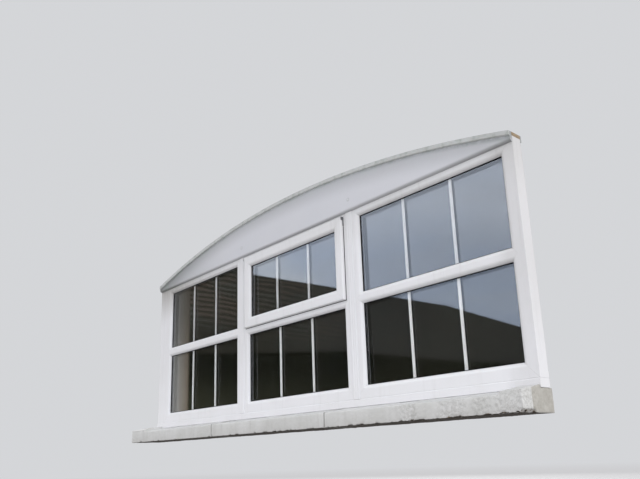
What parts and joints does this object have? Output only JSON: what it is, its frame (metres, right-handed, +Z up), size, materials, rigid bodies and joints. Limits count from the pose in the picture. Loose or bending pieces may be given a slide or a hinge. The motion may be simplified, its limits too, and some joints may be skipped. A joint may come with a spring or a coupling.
{
  "type": "arched casement window",
  "caption": "Wide white plastic window with coupled frames and a top-hung vent under a bowed head, on a painted masonry sill.",
  "frame": {"origin": "middle of the sill's underside", "axes": "+X along the window, to the right from the street; +Y from the street to the room; +Z up"},
  "size_m": [3.494, 0.235, 1.4866],
  "materials": {
    "white_plastic": "satin",
    "white_trim": "satin",
    "white_board": "matte",
    "white_bar": "satin",
    "white_metal": "satin",
    "handle_white": "gloss",
    "glass": "clear",
    "black_rubber": "matte",
    "spacer_aluminium": "satin",
    "packer_plastic": "matte",
    "galvanised_steel": "matte",
    "zinc_steel": "satin",
    "timber": "rough",
    "painted_masonry": "matte",
    "mortar": "matte"
  },
  "bodies": {
    "window": {"sill_slab_left": "painted_masonry", "sill_slab_centre": "painted_masonry", "sill_slab_right": "painted_masonry", "sill_joints": "mortar", "stub_cill": "white_plastic", "extension_profile": "white_plastic", "left_frame": "white_plastic", "centre_frame": "white_plastic", "right_frame": "white_plastic", "coupling_bars": "galvanised_steel", "outer_coupling_covers": "white_trim", "inner_coupling_covers": "white_trim", "left_frame_beads": "white_trim", "centre_frame_beads": "white_trim", "right_frame_beads": "white_trim", "arch_board": "white_board", "inner_arch_board": "white_board", "arch_trim": "white_board", "arch_core": "timber", "left_upper_outer_pane": "glass", "left_upper_inner_pane": "glass", "left_upper_spacer": "spacer_aluminium", "left_upper_bars": "white_bar", "left_lower_outer_pane": "glass", "left_lower_inner_pane": "glass", "left_lower_spacer": "spacer_aluminium", "left_lower_bars": "white_bar", "centre_lower_outer_pane": "glass", "centre_lower_inner_pane": "glass", "centre_lower_spacer": "spacer_aluminium", "centre_lower_bars": "white_bar", "right_upper_outer_pane": "glass", "right_upper_inner_pane": "glass", "right_upper_spacer": "spacer_aluminium", "right_upper_bars": "white_bar", "right_lower_outer_pane": "glass", "right_lower_inner_pane": "glass", "right_lower_spacer": "spacer_aluminium", "right_lower_bars": "white_bar", "frame_gaskets": "black_rubber", "glazing_packers": "packer_plastic", "pivot_brackets": "white_metal", "stay_tracks": "zinc_steel", "lock_keeps": "zinc_steel"},
    "sash": {"sash_frame": "white_plastic", "sash_outer_pane": "glass", "sash_inner_pane": "glass", "sash_spacer": "spacer_aluminium", "sash_bars": "white_bar", "sash_beads": "white_trim", "sash_gaskets": "black_rubber", "sash_packers": "packer_plastic", "sash_seal": "black_rubber", "stay_plates": "zinc_steel", "handle_rose": "handle_white", "lock_faceplate": "zinc_steel"},
    "left_stay": {"left_stay_arm": "zinc_steel"},
    "right_stay": {"right_stay_arm": "zinc_steel"},
    "handle": {"handle": "handle_white"},
    "lock": {"lock_rod": "zinc_steel"}
  },
  "joints": [
    {"name": "sash_swing", "type": "hinge", "parent": "window", "child": "sash", "pos_m": [0.121, 0.0215, 1.1885], "axis": [-1, 0, 0], "range_deg": [0, 35]},
    {"name": "left_stay_turn", "type": "hinge", "parent": "sash", "child": "left_stay", "pos_m": [-0.3415, 0.0475, 1.0205], "axis": [1, 0, 0], "range_deg": [0, 70]},
    {"name": "right_stay_turn", "type": "hinge", "parent": "sash", "child": "right_stay", "pos_m": [0.5835, 0.0475, 1.0205], "axis": [1, 0, 0], "range_deg": [0, 70]},
    {"name": "handle_turn", "type": "hinge", "parent": "sash", "child": "handle", "pos_m": [0.121, 0.0825, 0.7475], "axis": [0, 1, 0], "range_deg": [0, 90]},
    {"name": "lock_slide", "type": "slide", "parent": "sash", "child": "lock", "axis": [1, 0, 0], "range_m": [0, 0.02]}
  ],
  "couplings": [
    {"joint": "left_stay_turn", "follows": "sash_swing", "ratio": 2},
    {"joint": "right_stay_turn", "follows": "sash_swing", "ratio": 2},
    {"joint": "lock_slide", "follows": "handle_turn", "m_per_rad": 0.01273}
  ]
}
